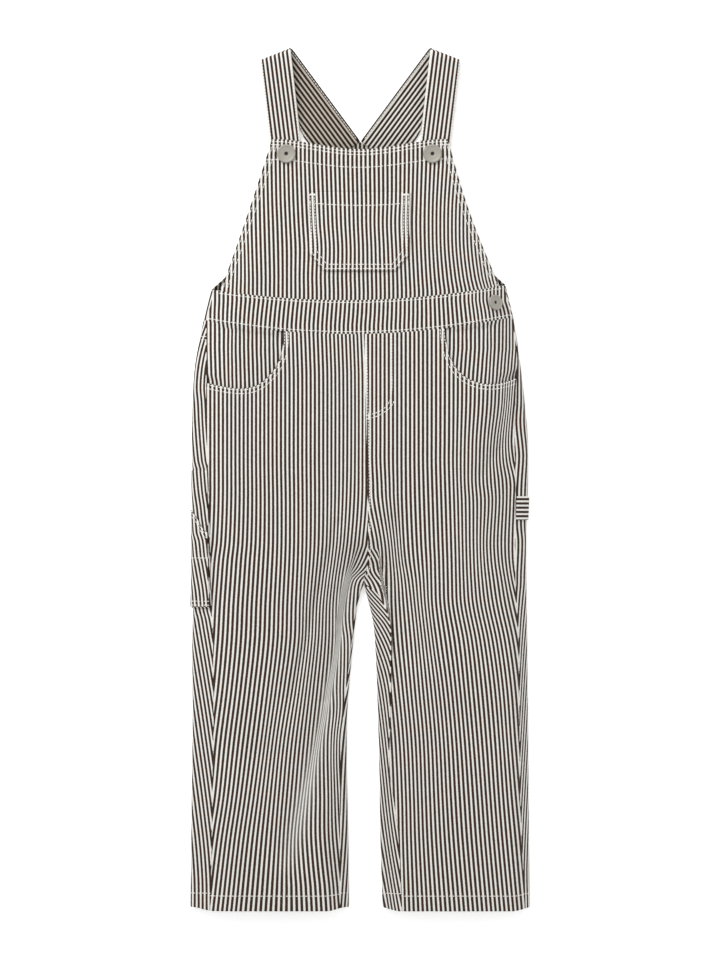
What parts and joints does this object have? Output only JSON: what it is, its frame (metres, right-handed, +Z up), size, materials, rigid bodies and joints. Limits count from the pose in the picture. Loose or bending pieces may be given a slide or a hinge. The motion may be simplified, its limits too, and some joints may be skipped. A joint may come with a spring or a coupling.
{
  "type": "kids bib overalls",
  "caption": "Child's bib overalls in brown and white striped twill, laid flat, with a patch bib pocket, curved hip pockets, metal buttons and shoulder straps.",
  "frame": {"origin": "on the surface the garment lies on, under the middle of its bounding box", "axes": "+X to the viewer's right, +Y from the leg hems to the shoulder folds of the straps, +Z up out of the surface, the way the garment's front faces"},
  "size_m": [0.2786, 0.7073, 0.025],
  "materials": {
    "striped_twill": "matte woven",
    "button_metal": "matte"
  },
  "bodies": {
    "root": {"bib": "striped_twill", "bib_pocket": "striped_twill", "waistband_front": "striped_twill", "waistband_back": "striped_twill", "back_yoke": "striped_twill", "front_leg_left": "striped_twill", "front_leg_right": "striped_twill", "back_leg_left": "striped_twill", "back_leg_right": "striped_twill", "outer_turn_left": "striped_twill", "outer_turn_right": "striped_twill", "inner_turn_left": "striped_twill", "inner_turn_right": "striped_twill", "hip_pocket_left": "striped_twill", "hip_pocket_right": "striped_twill", "strap_left": "striped_twill", "strap_right": "striped_twill", "tool_pocket": "striped_twill", "ruler_pocket": "striped_twill", "hammer_loop": "striped_twill", "button_bib_left": "button_metal", "button_bib_right": "button_metal", "button_waist": "button_metal"}
  },
  "joints": []
}
